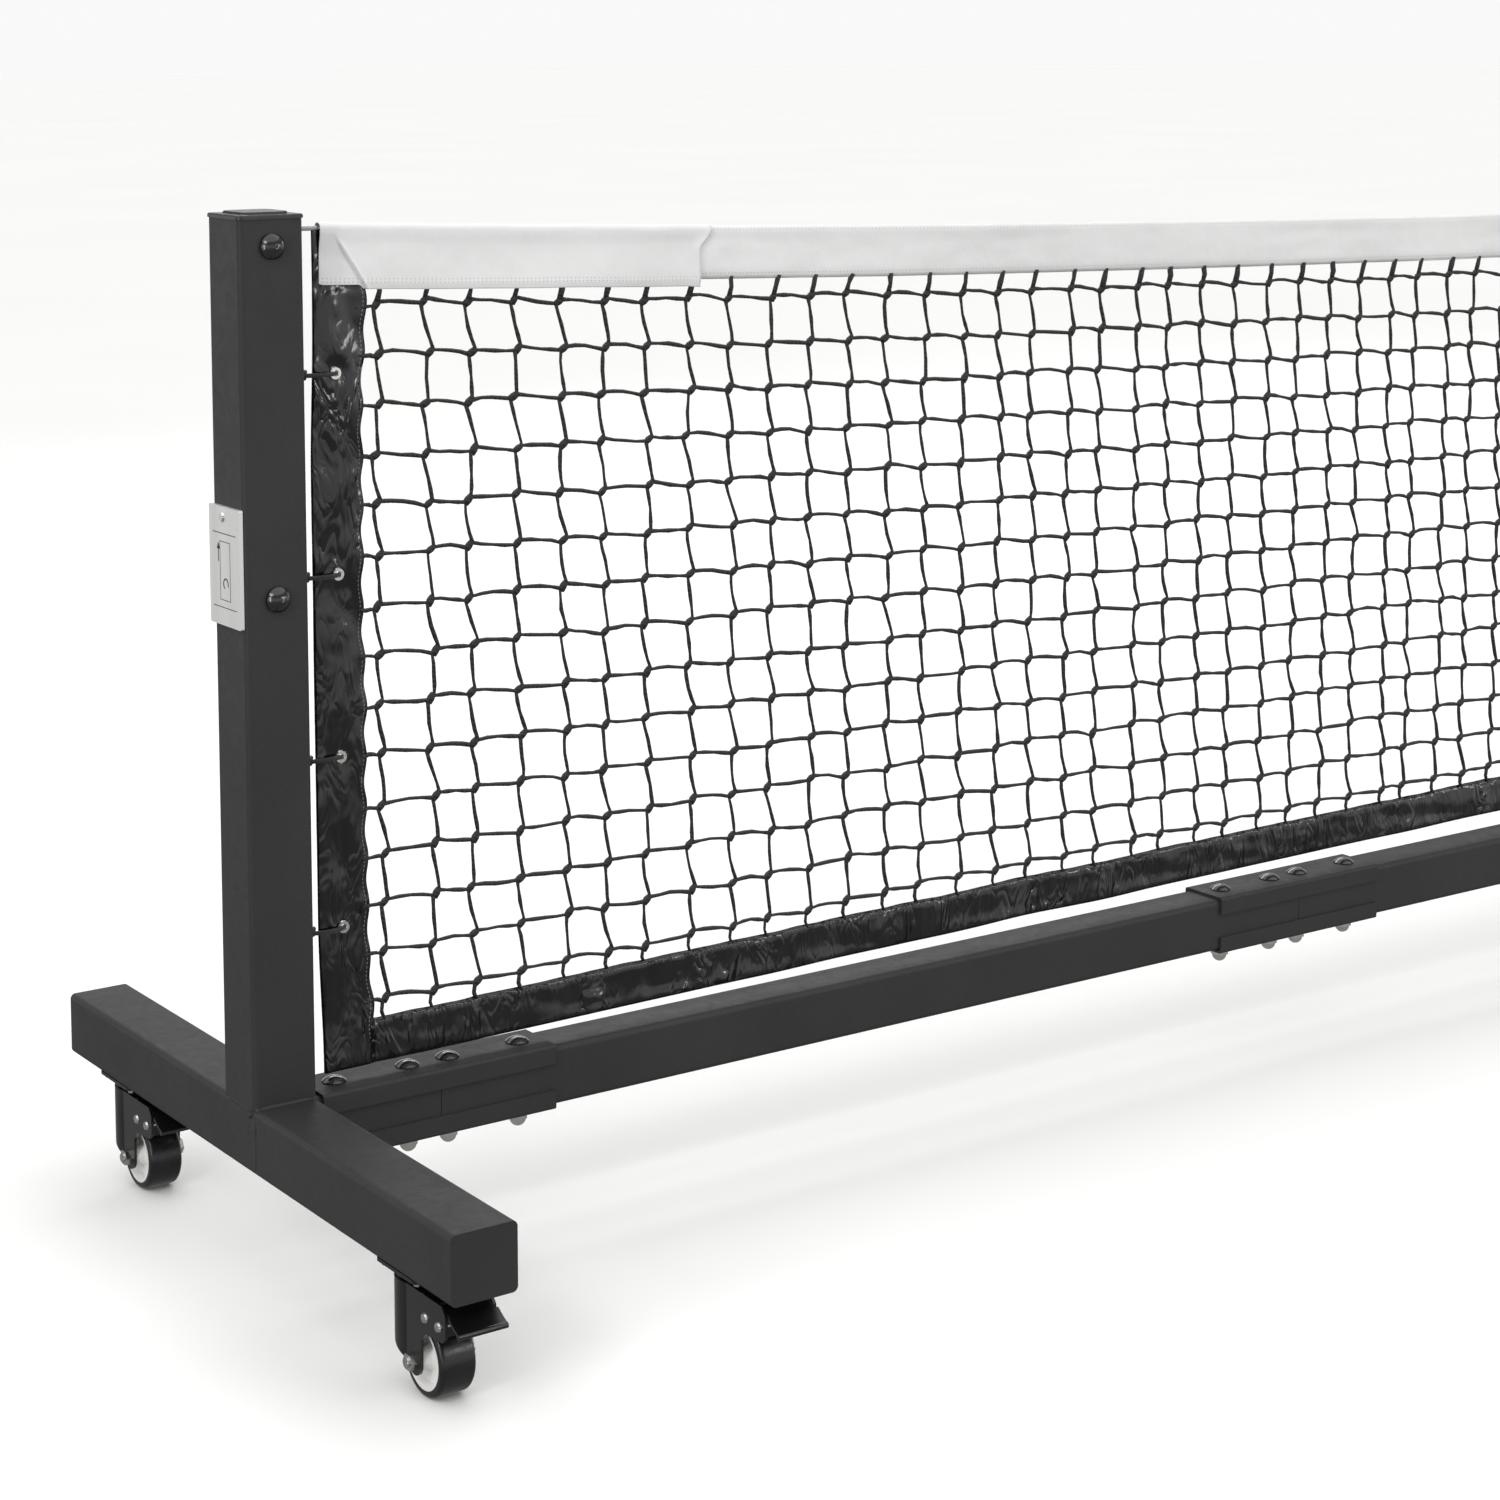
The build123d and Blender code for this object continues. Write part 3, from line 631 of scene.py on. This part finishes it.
def add_row(verts, faces, knots, row, first, last):
    """One crossing twine between two columns, and on into the side bands at the ends."""
    across = (0, 1, 0)
    slip = 0.0044
    rise = 0.0017
    reach = band_low.x + 0.010
    points = []
    if first == 0:
        x, y, z = knots[0, row]
        points.append((-reach, 0, z - 0.003 * random.random()))
    for column in range(first, last + 1):
        x, y, z = knots[column, row]
        if points:
            before = (x - slip, y, z - rise)
            points += strand(points.pop(), before, (0, 0, 1), random.uniform(-0.0008, 0.0022))
        points += [(x, y, z), (x + slip, y, z + rise)]
    if last == column_count - 1:
        points.append((reach, 0, points[-1][2] - 0.002 * random.random()))
    add_tube(verts, faces, points, uneven(len(points)), across)


# ---------------------------------------------------------------- folded strips


def folded_strip(
    name,
    stations,
    depth,
    fold_r,
    flat_half,
    place,
    bulge,
    material,
    rows,
    holes=(),
    close=1,
):
    """Sheeting folded over one edge: front face, round fold, back face.

    stations are (u, along) pairs. place(along, v) gives x and z, and bulge(along, v, face)
    gives how far the cloth stands off its flat lie, outward on either face. close says how
    far the two faces draw together at the sewn edge. holes are (x, z, radius).
    """
    flat = [fold_r + (depth - fold_r) * k / rows for k in range(rows, -1, -1)]
    turns = [math.pi * k / 6 for k in range(1, 6)]
    profile = [(v, -1) for v in flat]
    profile += [(fold_r * (1 - math.sin(a)), -math.cos(a)) for a in turns]
    profile += [(v, 1) for v in reversed(flat)]
    verts, uvs = [], []
    for u, along in stations:
        for v, face in profile:
            x, z = place(along, v)
            half = fold_r + (flat_half - fold_r) * smooth(v, fold_r, fold_r * 5)
            half = half + (sheeting - half) * smooth(v, depth - 0.006, depth) * close
            y = face * half + math.copysign(1, face) * bulge(along, v, face) * min(abs(face), 1)
            verts.append((x, y, z))
            uvs.append((u, v))
    wide = len(profile)
    faces = []
    for k in range(len(stations) - 1):
        for j in range(wide - 1):
            corners = (k * wide + j, (k + 1) * wide + j, (k + 1) * wide + j + 1, k * wide + j + 1)
            middle = np.mean([verts[c] for c in corners], axis=0)
            if all(math.hypot(middle[0] - x, middle[2] - z) > r for x, z, r in holes):
                faces.append(corners)
    made = new_object(name, verts, faces, material)
    layer = made.data.uv_layers.new(name="strip")
    for loop in made.data.loops:
        layer.data[loop.index].uv = uvs[loop.vertex_index]
    thick = made.modifiers.new("thickness", "SOLIDIFY")
    thick.thickness = sheeting
    thick.offset = -1
    return made


def spread(start, end, pitch):
    """(u, place) stations at about one pitch."""
    run = end - start
    count = max(2, round(abs(run) / pitch))
    return [(abs(run) * k / count, start + run * k / count) for k in range(count + 1)]


def make_head_tape():
    """The tape's long middle, folded over the head cord and sewn along its lower edge."""
    end = half_net - 0.06
    edge_inset = 0.0002

    def place(x, v):
        sway = 0.0008 * wave(x * 6, 3, 0)
        return x, top_line(x) - v * tape_height / (tape_height + edge_inset) + sway

    def bulge(x, v, face):
        free = smooth(v, 0.004, 0.015)
        slow = 0.0011 * wave(x * 5, v * 22, face * 3)
        fine = 0.0006 * wave(x * 26, v * 60, 9 + face)
        return free * (slow + fine) - 0.0002

    made = folded_strip(
        "head_tape",
        spread(-end, end, 0.0085),
        tape_height,
        0.0031,
        0.0024,
        place,
        bulge,
        finishes["white_vinyl"],
        rows=12,
    )
    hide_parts("net_head_tape")


def sleeve_stations(corner, sign):
    """Close together near the folded corner, and wider apart along the rest."""
    fine = 0.06
    near = spread(corner, corner - sign * fine, 0.0009)
    rest = spread(corner - sign * fine, corner - sign * sleeve_length, 0.003)
    return near + [(fine + u, x) for u, x in rest[1:]]


def make_tape_sleeves():
    """The wider layer at each end, its inner edge lifting and its corner folded under."""
    for side, sign in sides.items():
        corner = sign * half_net

        def place(x, v):
            inner = 1 - smooth(abs(x), half_net - sleeve_length, half_net - sleeve_length + 0.03)
            curl = 0.013 * smooth(v, 0.004, 0.022) * inner
            lift = 0.0012 * (1 - smooth(v, 0, 0.008)) + 0.0005 * wave(x * 14, 5, sign)
            return x + sign * curl, top_line(x) + lift - v

        def bulge(x, v, face):
            in_from_end = abs(corner - x)
            fold_x = 0.011 + 0.034 * (v - 0.005) / (sleeve_height - 0.005)
            under = smooth(fold_x - in_from_end, -0.0006, 0.0006) * smooth(v, 0.004, 0.032)
            ridge = 1 - smooth(abs(in_from_end - fold_x - 0.0015), 0, 0.003)
            inner = 1 - smooth(in_from_end, sleeve_length - 0.02, sleeve_length)
            soft = 0.0012 * wave(x * 9, v * 26, 4 + face) * smooth(v, 0.004, 0.016)
            lifted = 0.0014 * (1 - inner) * smooth(v, 0.004, 0.02)
            return 0.0016 + soft - 0.003 * under + 0.0009 * ridge * smooth(v, 0.011, 0.02) + lifted

        made = folded_strip(
            f"{side}_tape_sleeve",
            sleeve_stations(corner, sign),
            sleeve_height,
            0.0036,
            0.003,
            place,
            bulge,
            sleeve_finish,
            rows=38,
            close=0.4,
        )
        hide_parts("net_head_tape")


def make_side_bands():
    """Glossy black bands, folded round the side cord and drawn out by the lacing and twine."""
    for side, sign in sides.items():
        top = top_line(band_high.x) - 0.005
        bottom = bottom_line(band_high.x)
        tape_edge = top_line(band_high.x) - sleeve_height

        def belly(z):
            """1 along the middle of the band, 0 at its ends."""
            return smooth(z, bottom, bottom + 0.14) * (1 - smooth(z, tape_edge - 0.16, tape_edge))

        def pull(z):
            """How far the inner edge stands back between the twine rows."""
            top_row = row_height(band_low.x, 0)
            pitch = (top_row - row_height(band_low.x, row_count - 1)) / (row_count - 1)
            swing = math.cos(2 * math.pi * (z - top_row) / pitch)
            return 0.0014 * swing - 0.005 * belly(z) + 0.002 * wave(z * 11, sign, 2)

        def place(z, v):
            drawn = pull(z) * smooth(v, 0.024, band_width)
            towards_post = 0.0036 * belly(z) * (1 - smooth(v, 0, 0.016))
            tucked = 0.0008 * wave(z * 7, 1, sign)
            return sign * (band_high.x + towards_post + tucked - v - drawn), z

        def bulge(z, v, face):
            calm = min(
                smooth(math.hypot(band_high.x - v - grommet_x, z - h), 0.005, 0.016)
                for h in lacing_heights
            )
            shown = 1 - smooth(z, tape_edge - 0.006, tape_edge + 0.002)
            slant = 0.0024 * wave(z * 16 + v * 30, v * 26 - z * 5, sign + face * 2)
            crush = 0.0005 * wave(z * 60, v * 80, 7 + face)
            return calm * shown * smooth(v, 0.003, 0.012) * (slant + crush) - 0.0008 * (1 - shown)

        holes = [(sign * grommet_x, z, 0.0042) for z in lacing_heights]
        made = folded_strip(
            f"{side}_side_band",
            spread(bottom, top, 0.0024),
            band_width,
            0.0022,
            0.0017,
            place,
            bulge,
            finishes["black_vinyl"],
            rows=22,
            holes=holes,
        )
        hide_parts(f"{side}_net_side_band")


def make_bottom_band():
    """The glossy band along the foot of the net, folded up over the lowest cord."""
    end = band_low.x + 0.004

    def place(x, v):
        top_edge = smooth(v, 0.02, hem_height)
        sag = 0.0014 * wave(x * 9, 6, 0) + 0.0008 * wave(x * 40, 8, 0) * top_edge
        return x, bottom_line(x) + v + sag

    def bulge(x, v, face):
        free = smooth(v, 0.004, 0.012)
        slant = 0.0017 * wave(x * 15 + v * 40, v * 34, face * 3)
        crush = 0.0005 * wave(x * 50, v * 70, 3 + face)
        tucked = 0.0016 * smooth(abs(x), end - 0.012, end)
        return free * (slant + crush) - 0.0002 - tucked

    made = folded_strip(
        "bottom_band",
        spread(-end, end, 0.007),
        hem_height,
        0.0028,
        0.0022,
        place,
        bulge,
        hem_finish,
        rows=12,
    )
    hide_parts("net_bottom_band")


# ---------------------------------------------------------------- lacing


def make_lacing():
    """Each tie as a cord from its eye to its grommet, with the hitch that holds it."""
    cord_r = 0.002
    route = [
        (-0.040, -0.0036),
        (-0.047, -0.0056),
        (-0.060, -0.0062),
        (-0.068, -0.0050),
        (-0.073, -0.0022),
    ]
    for side, sign in sides.items():
        for k, z in enumerate(lacing_heights, 1):
            sag = 0.0008 * random.uniform(-1, 1)
            points = [
                (sign * (post_x + reach), y, z + sag * (n % 4 > 0))
                for n, (reach, y) in enumerate(route)
            ]
            data = bpy.data.curves.new(f"{side}_lacing_cord_{k}", "CURVE")
            data.dimensions = "3D"
            data.bevel_depth = cord_r
            data.bevel_resolution = 4
            data.use_fill_caps = True
            data.resolution_u = 8
            spline = data.splines.new("NURBS")
            spline.points.add(len(points) - 1)
            for point, place in zip(spline.points, points):
                point.co = (*place, 1)
            spline.order_u = 3
            spline.use_endpoint_u = True
            data.materials.append(finishes["black_cord"])
            tie = bpy.data.objects.new(f"{side}_lacing_cord_{k}", data)
            bpy.context.scene.collection.objects.link(tie)
            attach(tie, "frame")
            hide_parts("lacing_cords")
            hitch = make_hitch(f"{side}_hitch_{k}", sign, z)


def make_hitch(name, sign, z):
    """Two turns of the tie round the bow of its eye."""
    bow_reach = 0.0105
    centre = np.array((sign * (post_x - half_post - bow_reach), 0, z))
    coil_r = 0.0036
    turns = 2
    count = 15 * turns
    points = []
    for k in range(count + 1):
        angle = 2 * math.pi * turns * k / count
        rise = (k / count - 0.5) * 0.0062
        points.append(centre + np.array((coil_r * math.cos(angle), coil_r * math.sin(angle), rise)))
    verts, faces = [], []
    add_tube(verts, faces, points, [0.0018] * len(points), (0, 0, 1), 8)
    return new_object(name, verts, faces, finishes["black_cord"])


# ---------------------------------------------------------------- welds and marks


def bead(name, runs, material, pitch=0.0032):
    """A painted weld: each run is (start, end, radius, across, squash), with ripples."""
    verts, faces = [], []
    for start, end, radius, across, squash in runs:
        start, end = np.array(start, float), np.array(end, float)
        length = np.linalg.norm(end - start)
        count = max(6, int(length / 0.0011))
        points, radii = [], []
        for k in range(count + 1):
            t = k / count
            wander = radius * 0.12 * wave(t * length * 120, radius * 900, len(verts))
            points.append(start + (end - start) * t + wander * np.array(across))
            ripple = abs(math.sin(math.pi * t * length / pitch))
            taper = min(1, 5 * t + 0.4, 5 * (1 - t) + 0.4)
            radii.append(radius * taper * (0.86 + 0.16 * ripple))
        add_tube(verts, faces, points, radii, across, 10, squash)
    return new_object(name, verts, faces, material)


def make_welds():
    """Beads where the post, the foot and the base tube meet, with a little spatter."""
    coat = finishes["charcoal_powder_coat"]
    up, along = (0, 0, 1), (1, 0, 0)
    deck = foot_high.z
    flat = half_post - 0.004
    half_stub = (stub_high.y - stub_low.y) / 2
    low, high = stub_low.z + 0.004, stub_high.z - 0.004
    for side, sign in sides.items():
        x = sign * post_x
        runs = []
        for face in (-1, 1):
            y = face * (half_post + 0.0006)
            z = deck + 0.0004
            runs.append(((x - flat, y, z), (x + flat, y, z), 0.0026, up, 1))
            edge = x + face * (half_post - 0.0026)
            z = deck - 0.0022
            runs.append(((edge, -flat, z), (edge, flat, z), 0.0031, up, 1))
            for corner in (-1, 1):
                spot = x + corner * (half_post - 0.003)
                y = face * (half_post - 0.001)
                z = deck - 0.0006
                runs.append(((spot - 0.002, y, z), (spot + 0.002, y, z), 0.0036, up, 1))
        outer = x + sign * (half_post - 0.0002)
        y = -half_post + 0.001
        seam_low, seam_high = foot_low.z + 0.004, deck - 0.004
        runs.append(((outer, y, seam_low), (outer, y, seam_high), 0.0032, along, 0.25))
        bead(f"{side}_post_weld", runs, coat)
        inner = x - sign * (half_post + 0.0005)
        stub_runs = []
        for face in (-1, 1):
            y = face * (half_stub + 0.0004)
            stub_runs.append(((inner, y, low), (inner, y, high), 0.0024, along, 1))
        bead(f"{side}_stub_weld", stub_runs, coat)
        make_spatter(side, sign, coat)


def make_spatter(side, sign, coat):
    """Small drops of weld under the paint, on the foot's outer face near the post."""
    face = sign * (post_x + half_post)
    drops = [
        (-0.021, -0.006, 0.0028),
        (-0.0245, -0.0035, 0.0016),
        (-0.017, -0.0225, 0.0012),
        (-0.0185, -0.0165, 0.0010),
    ]
    verts, faces = [], []
    for y, drop, r in drops:
        add_lump(verts, faces, (face, y, foot_high.z + drop), (r * 0.7, r, r), 0, 10, 6)
    new_object(f"{side}_weld_spatter", verts, faces, coat)


def add_flat(verts, faces, outline, x, sign, thickness=0.00012):
    """Adds a thin raised shape on an outer face, from (y, z) corners in order."""
    start = len(verts)
    count = len(outline)
    for offset in (0, thickness):
        verts.extend(np.array((x + sign * offset, y, z)) for y, z in outline)
    faces.append(tuple(range(start + count, start + 2 * count)))
    faces.append(tuple(range(start + count - 1, start - 1, -1)))
    for k in range(count):
        after = (k + 1) % count
        faces.append((start + k, start + after, start + count + after, start + count + k))


def bar(y, z, width, height):
    """Corners of a bar centred on a point."""
    w, h = width / 2, height / 2
    return [(y - w, z - h), (y + w, z - h), (y + w, z + h), (y - w, z + h)]


def plate_outlines():
    """Two ruled lines, and a frame that holds an arrow over a winding hook."""
    middle = (plate_low.y + plate_high.y) / 2
    outlines = []
    for z in (plate_high.z - 0.023, plate_low.z + 0.0155):
        outlines.append(bar(middle, z, 0.044, 0.0007))
    low, high = plate_low.z + 0.022, plate_high.z - 0.030
    for y in (-0.0105, 0.0085):
        outlines.append(bar(middle + y, (low + high) / 2, 0.0006, high - low))
    for z in (low, high):
        outlines.append(bar(middle - 0.001, z, 0.0196, 0.0006))
    tip_y, tip_z = middle + 0.004, high - 0.002
    outlines.append(bar(tip_y + 0.0075, tip_z - 0.010, 0.0012, 0.012))
    outlines.append(
        [
            (tip_y + 0.0045, tip_z - 0.005),
            (tip_y + 0.0105, tip_z - 0.005),
            (tip_y + 0.0075, tip_z + 0.001),
        ]
    )
    hook_y, hook_z = middle - 0.002, low + 0.014
    hook_r, line = 0.0052, 0.0014
    rings = []
    for r in (hook_r, hook_r - line):
        angles = [math.radians(-60 + 22 * k) for k in range(13)]
        rings.append([(hook_y + r * math.cos(a), hook_z + r * math.sin(a)) for a in angles])
    outer, inner = rings
    for k in range(len(outer) - 1):
        outlines.append([outer[k], outer[k + 1], inner[k + 1], inner[k]])
    return outlines


def make_plate_marks():
    """The plain printed marks on each instruction plate."""
    ink = grained("plate_ink", (grey(0.02), grey(0.05)), (0.5, 0.65), (900, 0.00002))
    for side, sign in sides.items():
        verts, faces = [], []
        for outline in plate_outlines():
            add_flat(verts, faces, outline, sign * plate_high.x, sign)
        new_object(f"{side}_plate_marks", verts, faces, ink, smooth_shaded=False)


# ---------------------------------------------------------------- floor


def make_floor():
    """A large pale floor at the wheels' lowest point, which throws no light back up."""
    half = 70
    material, shader, coords = new_material("floor")
    drift = noise_value(material, coords, 0.6, 3)
    colour = blend_tones(material, stretch(material, drift, 0, 1), grey(0.93), grey(0.95))
    roughness = stretch(material, noise_value(material, coords, 3, 3), 0.75, 0.85)
    finish_material(material, shader, colour, roughness, [(drift, 0.0005)])
    mesh = bpy.data.meshes.new("floor")
    corners = [(-half, -half, 0), (half, -half, 0), (half, half, 0), (-half, half, 0)]
    mesh.from_pydata(corners, [], [(0, 1, 2, 3)])
    mesh.materials.append(material)
    floor = bpy.data.objects.new("floor", mesh)
    floor.visible_diffuse = False
    floor.visible_glossy = False
    bpy.context.scene.collection.objects.link(floor)


# ---------------------------------------------------------------- build


def dress_nodes():
    """Gives every CAD node the finish of its material slot."""
    for part in frame["record"]["subparts"]:
        node = frame["nodes"][part["node"]]
        material = finishes[part["material_slot"]]
        if not node.data.materials:
            node.data.materials.append(material)
        for slot in node.material_slots:
            slot.material = material


make_camera()
make_studio()
make_floor()
finishes = make_materials()
sleeve_finish = white_vinyl("sleeve_vinyl", (sleeve_height - 0.006, sleeve_height - 0.009))
hem_finish = black_vinyl("hem_vinyl", (hem_height - 0.004,), (0.05, 0.05, 0.05))
dress_nodes()
make_lacing()
make_twine_panels(knot_places())
make_head_tape()
make_tape_sleeves()
make_side_bands()
make_bottom_band()
make_welds()
make_plate_marks()
